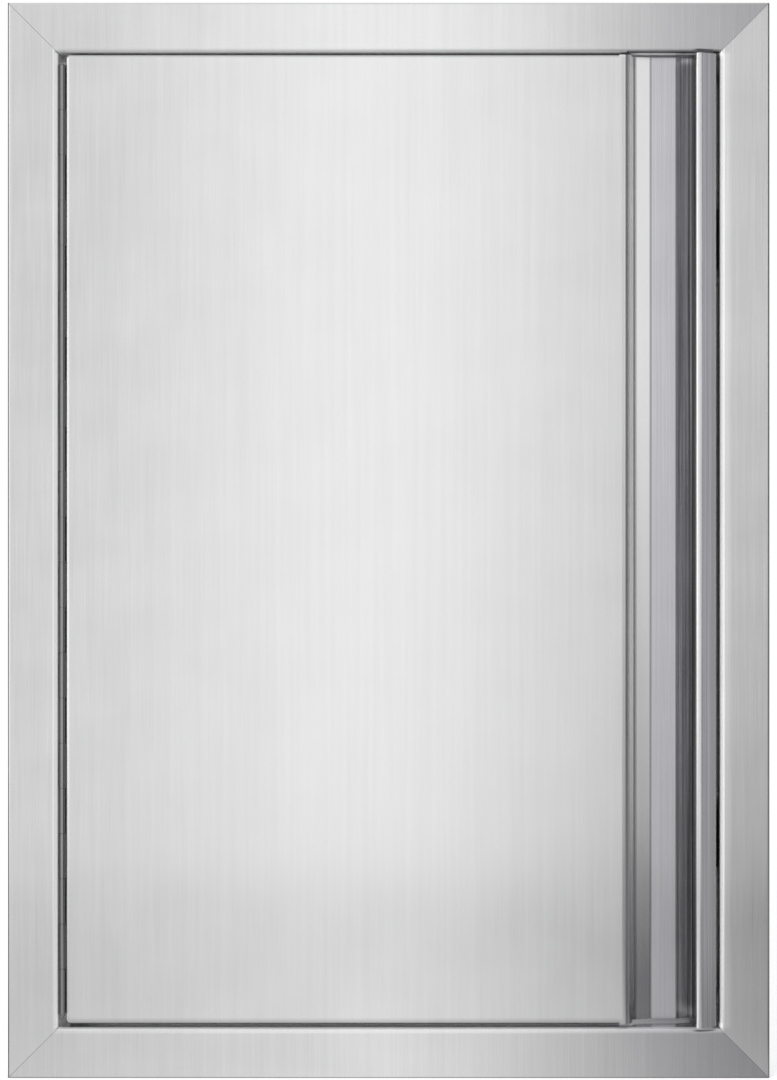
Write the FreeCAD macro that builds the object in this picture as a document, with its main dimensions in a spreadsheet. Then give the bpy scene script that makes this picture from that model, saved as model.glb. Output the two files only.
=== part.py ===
import FreeCAD, Part
import math
import os
import re

import Sketcher
from FreeCAD import Placement, Rotation, Vector

# Access door for the masonry cut-out of an outdoor kitchen island.
# A folded steel frame lines the cut-out, and a double-walled door hangs in it on a continuous hinge.
# Millimetres. +X is to the right seen from outside, +Y points into the island and +Z is up.
# The origin is the centre of the opening, in the plane of the island's wall, which the frame seats on.

# Driving dimensions, in millimetres and degrees
SIZES = {
    # frame, folded from sheet and mitred at its corners
    "frame_width": 431.8,
    "frame_height": 609.6,
    "flange_width": 28.5,
    "flange_height": 10.0,
    "jamb_depth": 38.0,
    "frame_gauge": 1.2,
    "frame_bend": 3.2,
    "edge_bend": 1.6,
    "seat_lip": 8.0,
    "return_width": 12.0,
    "mitre_gap": 0.25,
    # plates welded behind the mitres
    "corner_leg": 58.0,
    "corner_band": 20.0,
    "corner_gauge": 1.2,
    "corner_inset": 3.0,
    # screw holes in the jambs
    "screw_hole_radius": 2.5,
    "screw_row_depth": 29.0,
    "stile_hole_spacing": 420.0,
    "rail_hole_spacing": 240.0,
    # gaps round the door
    "top_gap": 1.0,
    "bottom_gap": 2.0,
    "latch_gap": 2.1,
    "door_setback": 0.5,
    # door skin
    "door_gauge": 1.0,
    "door_bend": 2.5,
    "flange_end": 0.5,
    # recess for the fingers, from the door's flat face to the floor and the pocket under the pull
    "handle_zone": 53.1,
    "recess_depth": 15.0,
    "recess_bend": 6.0,
    "wall_slope": 82.0,
    "ledge_bend": 3.0,
    "ledge_slope": 15.0,
    "ledge_width": 8.3,
    "floor_bend": 3.0,
    "floor_width": 13.8,
    "crease_bend": 1.5,
    "scoop_angle": 28.0,
    "pocket_bend": 3.0,
    # rolled pull along the free edge
    "pull_width": 12.0,
    "pull_height": 10.3,
    "nose_radius": 2.3,
    "shoulder_radius": 3.5,
    "facet_angle": 35.0,
    "curl_turn": 120.0,
    # inner wall of the door
    "liner_gauge": 0.8,
    "liner_bend": 1.8,
    "liner_flange": 10.0,
    "liner_play": 0.1,
    "liner_edge": 1.3,
    # stiffeners inside the door
    "stiffener_gauge": 0.8,
    "stiffener_bend": 2.0,
    "stiffener_web": 34.0,
    "stiffener_foot": 12.0,
    "stiffener_drop": 182.35,
    "stiffener_end": 8.0,
    # continuous hinge
    "hinge_end": 5.55,
    "knuckle_count": 21,
    "knuckle_gap": 0.3,
    "knuckle_radius": 1.85,
    "pin_radius": 1.0,
    "pin_play": 0.05,
    "hinge_clearance": 0.3,
    "hinge_inset": 2.0,
    "leaf_gauge": 0.8,
    "leaf_width": 17.0,
    "leaf_relief": 0.4,
    # hinge rivets
    "rivet_count": 6,
    "rivet_end": 23.8,
    "rivet_row": 10.5,
    "rivet_radius": 1.6,
    "rivet_play": 0.05,
    "rivet_head_radius": 2.6,
    "rivet_head_height": 0.6,
    "rivet_tail_radius": 2.2,
    "rivet_tail_height": 0.9,
    # magnetic catches on the latch jamb
    "catch_drop": 104.3,
    "catch_width": 16.0,
    "catch_length": 34.0,
    "catch_depth": 18.0,
    "catch_round": 1.2,
    "catch_ear": 10.0,
    "catch_ear_gauge": 3.0,
    "catch_ear_depth": 12.0,
    "magnet_thickness": 5.0,
    "magnet_length": 26.0,
    "magnet_depth": 9.0,
    "pole_gauge": 1.2,
    "pole_stand": 1.0,
    "pole_gap": 0.2,
    "catch_play": 0.1,
    "strike_gauge": 1.5,
    "strike_width": 9.0,
    "strike_length": 38.0,
    "strike_round": 2.0,
    # catch screws
    "catch_screw_radius": 1.75,
    "catch_screw_play": 0.05,
    "catch_screw_head_radius": 3.0,
    "catch_screw_head_height": 1.8,
    "catch_screw_tail": 1.2,
    "catch_screw_drive": 0.9,
}

# Places worked out from the driving dimensions
JAMB_LEFT = "(-frame_width/2 + flange_width)"
JAMB_RIGHT = "(frame_width/2 - flange_width)"
FLANGE_FRONT = "(-flange_height)"

DOOR_LEFT = f"({JAMB_LEFT} + 2*hinge_clearance + 2*knuckle_radius)"
DOOR_RIGHT = f"({JAMB_RIGHT} - latch_gap)"
DOOR_TOP = "(frame_height/2 - flange_width - top_gap)"
DOOR_BOTTOM = "(-frame_height/2 + flange_width + bottom_gap)"
DOOR_HEIGHT = f"({DOOR_TOP} - {DOOR_BOTTOM})"
DOOR_MIDDLE = f"(({DOOR_TOP} + {DOOR_BOTTOM})/2)"
DOOR_FRONT = f"({FLANGE_FRONT} + door_setback)"

# Recess: convex bend, steep wall, bend, sloping ledge, bend, flat floor, crease, scoop, bend up to the pull's wall
RECESS_START = f"({DOOR_RIGHT} - handle_zone)"
PAN_END = f"({RECESS_START} - flange_end)"
WALL_TOP_X = f"({RECESS_START} + recess_bend*sin(wall_slope))"
WALL_TOP_Y = f"({DOOR_FRONT} + recess_bend*(1 - cos(wall_slope)))"
FLOOR_Y = f"({DOOR_FRONT} + recess_depth)"
LEDGE_END_Y = f"({FLOOR_Y} - floor_bend*(1 - cos(ledge_slope)))"
LEDGE_START_Y = f"({LEDGE_END_Y} - ledge_width*tan(ledge_slope))"
WALL_FOOT_Y = f"({LEDGE_START_Y} - ledge_bend*(cos(ledge_slope) - cos(wall_slope)))"
WALL_FOOT_X = f"({WALL_TOP_X} + ({WALL_FOOT_Y} - {WALL_TOP_Y})/tan(wall_slope))"
LEDGE_START_X = f"({WALL_FOOT_X} + ledge_bend*(sin(wall_slope) - sin(ledge_slope)))"
LEDGE_END_X = f"({LEDGE_START_X} + ledge_width)"
FLOOR_START = f"({LEDGE_END_X} + floor_bend*sin(ledge_slope))"
FLOOR_END = f"({FLOOR_START} + floor_width)"
SCOOP_START = f"({FLOOR_END} + crease_bend*sin(scoop_angle))"
SCOOP_Y = f"({FLOOR_Y} + crease_bend*(1 - cos(scoop_angle)))"
PULL_WALL = f"({DOOR_RIGHT} - door_gauge)"
SCOOP_END = f"({PULL_WALL} - pocket_bend*(1 - sin(scoop_angle)))"
SCOOP_RADIUS = f"(({SCOOP_END} - {SCOOP_START})/(2*sin(scoop_angle)))"
SCOOP_LOW = f"({SCOOP_Y} + {SCOOP_RADIUS}*(1 - cos(scoop_angle)))"
POCKET_TOP_Y = f"({SCOOP_Y} - pocket_bend*cos(scoop_angle))"

# Pull: shoulder arc, sloping facet and nose arc, given by their centres and inside radii
NOSE_X = f"({DOOR_RIGHT} - pull_width + nose_radius)"
NOSE_Y = f"({DOOR_FRONT} - pull_height + nose_radius)"
NOSE_INSIDE = "(nose_radius - door_gauge)"
SHOULDER_X = f"({DOOR_RIGHT} - shoulder_radius)"
SHOULDER_DROP = (
    "((pull_width - nose_radius - shoulder_radius)*tan(facet_angle)"
    " + (shoulder_radius - nose_radius)/cos(facet_angle))"
)
SHOULDER_Y = f"({NOSE_Y} + {SHOULDER_DROP})"
SHOULDER_INSIDE = "(shoulder_radius - door_gauge)"

LINER_FRONT = f"({SCOOP_LOW} + door_gauge + liner_play)"
DOOR_BACK = f"({LINER_FRONT} + liner_gauge)"
LINER_LEFT = f"({DOOR_LEFT} + door_gauge + liner_play)"
LINER_TOP = f"({DOOR_TOP} - door_gauge - liner_play)"
LINER_BOTTOM = f"({DOOR_BOTTOM} + door_gauge + liner_play)"
LINER_RIGHT = f"({DOOR_RIGHT} - liner_edge)"

HINGE_X = f"({JAMB_LEFT} + hinge_clearance + knuckle_radius)"
HINGE_Y = f"({DOOR_FRONT} + hinge_inset)"
HINGE_LENGTH = f"({DOOR_HEIGHT} - 2*hinge_end)"
HINGE_LOW = f"({DOOR_BOTTOM} + hinge_end)"
KNUCKLE_PITCH = f"({HINGE_LENGTH}/knuckle_count)"
BORE_RADIUS = "(pin_radius + pin_play)"
RIVET_HOLE = "(rivet_radius + rivet_play)"
RIVET_Y = f"({HINGE_Y} + rivet_row)"
RIVET_SPACING = f"(({HINGE_LENGTH} - 2*rivet_end)/(rivet_count - 1))"

STRIKE_FACE = f"({DOOR_BACK} + strike_gauge)"
POLE_FACE = f"({STRIKE_FACE} + pole_gap)"
CATCH_FRONT = f"({POLE_FACE} + pole_stand)"
CATCH_X = f"({JAMB_RIGHT} - catch_width/2)"
CAVITY_DEPTH = "(magnet_depth + catch_play)"
CATCH_HEIGHT = "(frame_height/2 - flange_width - catch_drop)"
CATCH_SCREW_Z = "(catch_length/2 + catch_ear/2)"
CATCH_SCREW_Y = f"({CATCH_FRONT} + catch_depth/2)"

doc = FreeCAD.newDocument("AccessDoor")
sheet = doc.addObject("Spreadsheet::Sheet", "Sizes")
for row, (alias, amount) in enumerate(SIZES.items(), start=1):
    sheet.set(f"A{row}", alias)
    sheet.set(f"B{row}", str(amount))
    sheet.setAlias(f"B{row}", alias)
doc.recompute()

sub_parts = []

ALONG_X = Rotation(Vector(0, 1, 0), 90)
ALONG_Z = Rotation()
# Turns a sketch so that its x axis lies along +Y, its y axis along +Z and its normal along +X
SIDE_VIEW = Rotation(Vector(1, 1, 1), 120)


def number(expression):
    """Value of an expression of the sheet's aliases."""
    amount = sheet.evalExpression(str(expression))
    return float(getattr(amount, "Value", amount))


def linked(expression):
    """The same expression as other objects write it, with the sheet's name before each alias."""
    return re.sub(r"[a-z_]+", lambda word: "Sizes." * (word[0] in SIZES) + word[0], str(expression))


def bind(thing, **properties):
    """Bind properties of an object to expressions of the sheet."""
    for name, expression in properties.items():
        thing.setExpression(name, linked(expression))


def place(thing, x="0", y="0", z="0", rotation=ALONG_Z):
    """Put an object at a point given by expressions."""
    thing.Placement = Placement(Vector(number(x), number(y), number(z)), rotation)
    for axis, expression in (("x", x), ("y", y), ("z", z)):
        thing.setExpression(f"Placement.Base.{axis}", linked(expression))
    return thing


def box(name, low, high):
    """Box between two corners given as expressions."""
    thing = doc.addObject("Part::Box", name)
    sides = [f"({b} - {a})" for a, b in zip(low, high)]
    bind(thing, Length=sides[0], Width=sides[1], Height=sides[2])
    return place(thing, *low)


def cylinder(name, radius, length, start, direction=ALONG_Z):
    """Cylinder that starts at a point and runs along a direction."""
    thing = doc.addObject("Part::Cylinder", name)
    bind(thing, Radius=radius, Height=length)
    return place(thing, *start, direction)


def fuse(name, pieces):
    """One solid from pieces that overlap or meet."""
    thing = doc.addObject("Part::MultiFuse", name)
    thing.Shapes = pieces
    thing.Refine = True
    return thing


def group(name, pieces):
    """Separate solids that share one node."""
    thing = doc.addObject("Part::Compound", name)
    thing.Links = pieces
    return thing


def cut(name, base, tools):
    """Base with each tool taken out of it."""
    thing = doc.addObject("Part::Cut", name)
    thing.Base = base
    thing.Tool = tools[0] if len(tools) == 1 else group(f"{name}_tools", tools)
    return thing


def sub_part(thing, label):
    """Mark an object as a finished piece, which is written to its own file."""
    thing.Label = label
    sub_parts.append(thing)
    return thing


def add_point_rule(sketch, kind, geometry, end, expression):
    """Hold one coordinate of a sketch point at an expression."""
    rule = Sketcher.Constraint(kind, -1, 1, geometry, end, number(expression))
    index = sketch.addConstraint(rule)
    sketch.setExpression(f"Constraints[{index}]", linked(expression))


def draw(sketch, points, closed=False):
    """Draw lines, and arcs of less than a half turn, through points.

    A point is (x, y) at the end of a line, or (x, y, turn, radius) at the end of an arc.
    """
    spots = [Vector(number(point[0]), number(point[1]), 0) for point in points]
    steps = list(range(1, len(points)))
    if closed:
        steps.append(0)
    last = None
    first = None
    for step in steps:
        start = spots[step - 1]
        stop = spots[step]
        if len(points[step]) == 2:
            piece = sketch.addGeometry(Part.LineSegment(start, stop), False)
            begin, finish = 1, 2
        else:
            left = points[step][2] == "left"
            radius = number(points[step][3])
            chord = stop - start
            rise = math.sqrt(radius ** 2 - chord.Length ** 2 / 4)
            side = Vector(-chord.y, chord.x, 0).normalize() * (rise if left else -rise)
            centre = (start + stop) * 0.5 + side
            ends = (start, stop) if left else (stop, start)
            angles = [math.atan2(spot.y - centre.y, spot.x - centre.x) for spot in ends]
            circle = Part.Circle(centre, Vector(0, 0, 1), radius)
            piece = sketch.addGeometry(Part.ArcOfCircle(circle, *angles), False)
            begin, finish = (1, 2) if left else (2, 1)
            index = sketch.addConstraint(Sketcher.Constraint("Radius", piece, radius))
            sketch.setExpression(f"Constraints[{index}]", linked(points[step][3]))
        if last is None:
            first = (piece, begin)
            add_point_rule(sketch, "DistanceX", piece, begin, points[step - 1][0])
            add_point_rule(sketch, "DistanceY", piece, begin, points[step - 1][1])
        else:
            sketch.addConstraint(Sketcher.Constraint("Coincident", *last, piece, begin))
        last = (piece, finish)
        if step == 0:
            sketch.addConstraint(Sketcher.Constraint("Coincident", *last, *first))
        else:
            add_point_rule(sketch, "DistanceX", piece, finish, points[step][0])
            add_point_rule(sketch, "DistanceY", piece, finish, points[step][1])


def folded_sheet(name, points, gauge, rotation=ALONG_Z):
    """Section of a folded sheet, whose thickness lies to the left of an open path."""
    path = doc.addObject("Sketcher::SketchObject", f"{name}_path")
    path.Placement = Placement(Vector(), rotation)
    draw(path, points)
    section = doc.addObject("Part::Offset2D", f"{name}_section")
    section.Source = path
    section.Mode = "Skin"
    section.Join = "Intersection"
    section.Fill = True
    bind(section, Value=f"-({gauge})")
    return section


def extrusion(name, section, direction, length, both_ways=False):
    """Section pushed along a direction, from where it lies or both ways from there."""
    thing = doc.addObject("Part::Extrusion", name)
    thing.Base = section
    thing.DirMode = "Custom"
    thing.Dir = direction
    thing.Solid = True
    thing.Symmetric = both_ways
    bind(thing, LengthFwd=length)
    return thing


def origin_plane(body, role):
    """One of a body's own origin planes."""
    return next(plane for plane in body.Origin.OriginFeatures if plane.Role == role)


def sketch_on(body, name, role, points):
    """Closed outline on one of a body's origin planes."""
    sketch = body.newObject("Sketcher::SketchObject", name)
    sketch.AttachmentSupport = [(origin_plane(body, role), "")]
    sketch.MapMode = "FlatFace"
    doc.recompute()
    draw(sketch, points, closed=True)
    return sketch


def named(shape, kind, test):
    """Names of a shape's edges or faces whose bounding box passes a test."""
    items = getattr(shape, f"{kind}s")
    return [f"{kind}{i}" for i, item in enumerate(items, start=1) if test(item.BoundBox)]


def near(a, b):
    """True where two lengths are the same but for rounding."""
    return abs(a - b) < 1e-4


def rounded_block(name, left, right, bottom, top, face, depth, bend, backwards):
    """Block whose face at y = face is rounded along its left, top and bottom edges."""
    body = doc.addObject("PartDesign::Body", name)
    outline = [(left, bottom), (right, bottom), (right, top), (left, top)]
    sketch = sketch_on(body, f"{name}_outline", "XZ_Plane", outline)
    block = body.newObject("PartDesign::Pad", f"{name}_block")
    block.Profile = sketch
    block.Reversed = backwards
    bind(block, Length=depth)
    doc.recompute()

    def is_bend(bounds):
        on_face = near(bounds.YMin, 0) and near(bounds.YMax, 0) and not near(bounds.XMin, number(right))
        at_corner = near(bounds.XMax, number(left)) and near(bounds.ZMin, bounds.ZMax)
        return on_face or at_corner

    bends = body.newObject("PartDesign::Fillet", f"{name}_bends")
    bends.Base = (block, named(block.Shape, "Edge", is_bend))
    bind(bends, Radius=bend)
    body.Tip = bends
    return place(body, y=face)


def pan(name, left, right, bottom, top, face, depth, bend, gauge, backwards):
    """Tray folded from sheet: a flat face with flanges on its left, top and bottom edges.

    The flanges point towards +Y if backwards is true, and towards -Y if not. The right edge is open.
    """
    outer = rounded_block(f"{name}_outside", left, right, bottom, top, face, depth, bend, backwards)
    inner = rounded_block(
        f"{name}_inside",
        f"({left} + {gauge})",
        f"({right} + {gauge})",
        f"({bottom} + {gauge})",
        f"({top} - {gauge})",
        f"({face} + {gauge})" if backwards else f"({face} - {gauge})",
        depth,
        f"({bend} - {gauge})",
        backwards,
    )
    return cut(name, outer, [inner])


def jamb_hole(name, radius, along, depth):
    """Hole through a jamb, in the rail's own frame."""
    return cylinder(name, radius, "3*frame_gauge", (along, depth, "-flange_width - frame_gauge"))


def rail(label, span, turn, x, z, hole_spacing, more_holes=()):
    """One side of the frame, drawn as the top one, with its outer edge on the local X axis.

    From the seat lip the sheet folds round the outer edge, across the front and back along the jamb, and
    at the jamb's end it turns into the opening.
    """
    inner = "(frame_bend - frame_gauge)"
    path = [
        ("0", "-seat_lip"),
        ("0", "-edge_bend"),
        ("-edge_bend", "0", "left", "edge_bend"),
        (f"{FLANGE_FRONT} + edge_bend", "0"),
        (FLANGE_FRONT, "-edge_bend", "left", "edge_bend"),
        (FLANGE_FRONT, "-flange_width + frame_bend"),
        (f"{FLANGE_FRONT} + frame_bend", "-flange_width", "left", "frame_bend"),
        ("jamb_depth - frame_bend", "-flange_width"),
        ("jamb_depth - frame_gauge", f"-flange_width - {inner}", "right", inner),
        ("jamb_depth - frame_gauge", "-flange_width - return_width"),
    ]
    section = folded_sheet(f"{label}_fold", path, "frame_gauge", SIDE_VIEW)
    length = extrusion(f"{label}_length", section, Vector(1, 0, 0), span, both_ways=True)

    half = f"({span}/2 - mitre_gap*sqrt(0.5))"
    reach = f"({half} - 2*flange_width)"
    inward = "(-2*flange_width)"
    mitres = doc.addObject("PartDesign::Body", f"{label}_mitres")
    outline = [(f"-{half}", "0"), (f"-{reach}", inward), (reach, inward), (half, "0")]
    sketch = sketch_on(mitres, f"{label}_trapezium", "XZ_Plane", outline)
    slab = mitres.newObject("PartDesign::Pad", f"{label}_slab")
    slab.Profile = sketch
    slab.Midplane = True
    bind(slab, Length="2*(flange_height + jamb_depth) + 2*frame_gauge")
    mitred = doc.addObject("Part::Common", f"{label}_mitred")
    mitred.Base = length
    mitred.Tool = mitres

    holes = [
        jamb_hole(f"{label}_screw_hole", "screw_hole_radius", f"{side}*{hole_spacing}/2", "screw_row_depth")
        for side in (-1, 1)
    ]
    piece = cut(label, mitred, holes + list(more_holes))
    place(piece, x, "0", z, Rotation(Vector(0, 1, 0), turn))
    return sub_part(piece, label)


def rivet_place(index):
    """Height of a hinge rivet."""
    return f"({HINGE_LOW} + rivet_end + {index}*{RIVET_SPACING})"


def catch_screw_heights():
    """Heights of the two screws of each catch."""
    return [f"({level}*{CATCH_HEIGHT} + {end}*{CATCH_SCREW_Z})" for level in (-1, 1) for end in (-1, 1)]


def make_frame():
    """Four mitred sides. The left one is drilled for the hinge and the right one for the catches."""
    rivets = [
        jamb_hole("hinge_rivet_hole", RIVET_HOLE, rivet_place(index), RIVET_Y)
        for index in range(int(SIZES["rivet_count"]))
    ]
    # The right side is turned end for end, so heights change sign in its own frame
    screws = [
        jamb_hole("catch_screw_hole", "catch_screw_radius", f"-({height})", CATCH_SCREW_Y)
        for height in catch_screw_heights()
    ]
    rail("frame_top_rail", "frame_width", 0, "0", "frame_height/2", "rail_hole_spacing")
    rail("frame_bottom_rail", "frame_width", 180, "0", "-frame_height/2", "rail_hole_spacing")
    rail("frame_left_stile", "frame_height", -90, "-frame_width/2", "0", "stile_hole_spacing", rivets)
    rail("frame_right_stile", "frame_height", 90, "frame_width/2", "0", "stile_hole_spacing", screws)


def make_corner_plates():
    """L-shaped plates behind the front flange, one across each mitre."""
    plates = []
    corners = [(0, 1, 1), (90, 1, -1), (180, -1, -1), (270, -1, 1)]
    for turn, across, up in corners:
        body = doc.addObject("PartDesign::Body", "corner_plate")
        inset = "(-corner_inset)"
        leg = "(-corner_inset - corner_leg)"
        band = "(-corner_inset - corner_band)"
        outline = [(inset, inset), (leg, inset), (leg, band), (band, band), (band, leg), (inset, leg)]
        sketch = sketch_on(body, "corner_plate_outline", "XZ_Plane", outline)
        plate = body.newObject("PartDesign::Pad", "corner_plate_pad")
        plate.Profile = sketch
        bind(plate, Length="corner_gauge")
        behind = f"({FLANGE_FRONT} + frame_gauge + corner_gauge)"
        corner = (f"{across}*frame_width/2", behind, f"{up}*frame_height/2")
        place(body, *corner, Rotation(Vector(0, 1, 0), turn))
        plates.append(body)
    sub_part(group("corner_plates", plates), "corner_plates")


def make_door_skin():
    """Outer wall of the door: a tray for the flat face, and a formed strip for the recess and the pull."""
    tray = pan("door_tray", DOOR_LEFT, PAN_END, DOOR_BOTTOM, DOOR_TOP, DOOR_FRONT,
               f"({DOOR_BACK} - {DOOR_FRONT})", "door_bend", "door_gauge", True)
    path = [
        (f"({PAN_END} - door_gauge)", DOOR_FRONT),
        (RECESS_START, DOOR_FRONT),
        (WALL_TOP_X, WALL_TOP_Y, "left", "recess_bend"),
        (WALL_FOOT_X, WALL_FOOT_Y),
        (LEDGE_START_X, LEDGE_START_Y, "right", "ledge_bend"),
        (LEDGE_END_X, LEDGE_END_Y),
        (FLOOR_START, FLOOR_Y, "right", "floor_bend"),
        (FLOOR_END, FLOOR_Y),
        (SCOOP_START, SCOOP_Y, "left", "crease_bend"),
        (SCOOP_END, SCOOP_Y, "right", SCOOP_RADIUS),
        (PULL_WALL, POCKET_TOP_Y, "right", "pocket_bend"),
        (PULL_WALL, SHOULDER_Y),
        (f"({SHOULDER_X} + {SHOULDER_INSIDE}*sin(facet_angle))",
         f"({SHOULDER_Y} - {SHOULDER_INSIDE}*cos(facet_angle))", "right", SHOULDER_INSIDE),
        (f"({NOSE_X} + {NOSE_INSIDE}*sin(facet_angle))",
         f"({NOSE_Y} - {NOSE_INSIDE}*cos(facet_angle))"),
        (f"({NOSE_X} - {NOSE_INSIDE})", NOSE_Y, "right", NOSE_INSIDE),
        (f"({NOSE_X} - {NOSE_INSIDE}*cos(curl_turn))",
         f"({NOSE_Y} + {NOSE_INSIDE}*sin(curl_turn))", "right", NOSE_INSIDE),
    ]
    section = folded_sheet("handle_fold", path, "door_gauge")
    strip = extrusion("handle_strip", section, Vector(0, 0, 1), DOOR_HEIGHT)
    place(strip, "0", "0", DOOR_BOTTOM)
    whole = fuse("door_skin_whole", [tray, strip])
    holes = [
        cylinder("skin_rivet_hole", RIVET_HOLE, "3*door_gauge",
                 (f"({DOOR_LEFT} - door_gauge)", RIVET_Y, rivet_place(index)), ALONG_X)
        for index in range(int(SIZES["rivet_count"]))
    ]
    sub_part(cut("door_skin", whole, holes), "door_skin")


def make_door_liner():
    """Inner wall of the door: a tray inside the skin's flanges, with a flat end behind the recess."""
    tray = pan("liner_tray", LINER_LEFT, PAN_END, LINER_BOTTOM, LINER_TOP, DOOR_BACK,
               "liner_flange", "liner_bend", "liner_gauge", False)
    plate = box("liner_plate", (f"({PAN_END} - liner_gauge)", LINER_FRONT, f"({LINER_BOTTOM} + liner_bend)"),
                (LINER_RIGHT, DOOR_BACK, f"({LINER_TOP} - liner_bend)"))
    whole = fuse("door_liner_whole", [tray, plate])
    holes = [
        cylinder("liner_rivet_hole", RIVET_HOLE, "3*liner_gauge",
                 (f"({LINER_LEFT} - liner_gauge)", RIVET_Y, rivet_place(index)), ALONG_X)
        for index in range(int(SIZES["rivet_count"]))
    ]
    sub_part(cut("door_liner", whole, holes), "door_liner")


def make_stiffener(label, side):
    """Hat section across the inside of the door, welded to the skin and the liner."""
    skin_back = f"({DOOR_FRONT} + door_gauge)"
    crown = f"({skin_back} + stiffener_gauge)"
    wall = "(stiffener_web/2)"
    inner = "(stiffener_bend - stiffener_gauge)"
    path = [
        (LINER_FRONT, f"(-{wall} - stiffener_foot)"),
        (LINER_FRONT, f"(-{wall} - stiffener_bend)"),
        (f"({LINER_FRONT} - stiffener_bend)", f"(-{wall})", "left", "stiffener_bend"),
        (f"({crown} + {inner})", f"(-{wall})"),
        (crown, f"(-{wall} + {inner})", "right", inner),
        (crown, f"({wall} - {inner})"),
        (f"({crown} + {inner})", wall, "right", inner),
        (f"({LINER_FRONT} - stiffener_bend)", wall),
        (LINER_FRONT, f"({wall} + stiffener_bend)", "left", "stiffener_bend"),
        (LINER_FRONT, f"({wall} + stiffener_foot)"),
    ]
    section = folded_sheet(f"{label}_fold", path, "stiffener_gauge", SIDE_VIEW)
    length = f"({PAN_END} - {LINER_LEFT} - 2*stiffener_end)"
    hat = extrusion(label, section, Vector(1, 0, 0), length)
    height = f"({DOOR_MIDDLE} + {side}*({DOOR_HEIGHT}/2 - stiffener_drop))"
    place(hat, f"({LINER_LEFT} + stiffener_end)", "0", height)
    sub_part(hat, label)


def make_leaf(label, plate_side, first_knuckle, holes):
    """Leaf of the hinge, with every second knuckle.

    The plate lies against the jamb or the door's edge, and a tab joins each knuckle to it.
    """
    inner, outer = plate_side
    plate_start = f"({HINGE_Y} + knuckle_radius + leaf_relief)"
    plate_end = f"({HINGE_Y} + leaf_width)"
    pieces = [box(f"{label}_plate", (inner, plate_start, HINGE_LOW),
                  (outer, plate_end, f"({HINGE_LOW} + {HINGE_LENGTH})"))]
    for index in range(first_knuckle, int(SIZES["knuckle_count"]), 2):
        start = f"({HINGE_LOW} + {index}*{KNUCKLE_PITCH} + knuckle_gap/2)"
        stop = f"({HINGE_LOW} + ({index} + 1)*{KNUCKLE_PITCH} - knuckle_gap/2)"
        pieces.append(cylinder(f"{label}_knuckle", "knuckle_radius", f"({stop} - {start})",
                               (HINGE_X, HINGE_Y, start)))
        pieces.append(box(f"{label}_tab", (inner, HINGE_Y, start), (outer, plate_start, stop)))
    whole = fuse(f"{label}_whole", pieces)
    bore = cylinder(f"{label}_bore", BORE_RADIUS, f"({HINGE_LENGTH} + 2*knuckle_gap)",
                    (HINGE_X, HINGE_Y, f"({HINGE_LOW} - knuckle_gap)"))
    sub_part(cut(label, whole, [bore] + holes), label)


def make_rivets(label, head_face, tail_face, outward):
    """Row of hinge rivets. The head stands on one face and the tail is formed on the other.

    Outward is 1 where the head points to +X, and -1 where it points to -X.
    """
    rivets = []
    head = "rivet_head_height"
    tail = "rivet_tail_height"
    for index in range(int(SIZES["rivet_count"])):
        level = rivet_place(index)
        if outward > 0:
            low, high = tail_face, head_face
            head_low, tail_low = head_face, f"({tail_face} - {tail})"
        else:
            low, high = head_face, tail_face
            head_low, tail_low = f"({head_face} - {head})", tail_face
        shank = cylinder(f"{label}_shank", "rivet_radius", f"({high} - {low})",
                         (low, RIVET_Y, level), ALONG_X)
        cap = cylinder(f"{label}_head", "rivet_head_radius", head, (head_low, RIVET_Y, level), ALONG_X)
        foot = cylinder(f"{label}_tail", "rivet_tail_radius", tail, (tail_low, RIVET_Y, level), ALONG_X)
        rivets.append(fuse(f"{label}_one", [shank, cap, foot]))
    sub_part(group(label, rivets), label)


def make_hinge():
    """Two leaves, the pin and the rivets."""
    jamb_side = (JAMB_LEFT, f"({JAMB_LEFT} + leaf_gauge)")
    door_side = (f"({DOOR_LEFT} - leaf_gauge)", DOOR_LEFT)
    sides = (("hinge_frame_leaf", jamb_side, 0), ("hinge_door_leaf", door_side, 1))
    for label, side, first_knuckle in sides:
        holes = [
            cylinder(f"{label}_rivet_hole", RIVET_HOLE, "3*leaf_gauge",
                     (f"({side[0]} - leaf_gauge)", RIVET_Y, rivet_place(index)), ALONG_X)
            for index in range(int(SIZES["rivet_count"]))
        ]
        make_leaf(label, side, first_knuckle, holes)
    pin = cylinder("hinge_pin", "pin_radius", HINGE_LENGTH, (HINGE_X, HINGE_Y, HINGE_LOW))
    sub_part(pin, "hinge_pin")
    make_rivets("hinge_frame_rivets", jamb_side[1], f"({JAMB_LEFT} - frame_gauge)", 1)
    make_rivets("hinge_door_rivets", door_side[0], f"({LINER_LEFT} + liner_gauge)", -1)


def catch_block(name, level):
    """Block of a catch's case, with the edges of its free side rounded."""
    body = doc.addObject("PartDesign::Body", name)
    outline = [
        ("(-catch_width)", "(-catch_length/2)"),
        ("0", "(-catch_length/2)"),
        ("0", "(catch_length/2)"),
        ("(-catch_width)", "(catch_length/2)"),
    ]
    sketch = sketch_on(body, f"{name}_outline", "XZ_Plane", outline)
    pad = body.newObject("PartDesign::Pad", f"{name}_pad")
    pad.Profile = sketch
    pad.Reversed = True
    bind(pad, Length="catch_depth")
    doc.recompute()
    rounds = body.newObject("PartDesign::Fillet", f"{name}_rounds")
    free_side = -number("catch_width")
    rounds.Base = (pad, named(pad.Shape, "Edge", lambda bounds: near(bounds.XMax, free_side)))
    bind(rounds, Radius="catch_round")
    body.Tip = rounds
    return place(body, JAMB_RIGHT, CATCH_FRONT, level)


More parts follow.
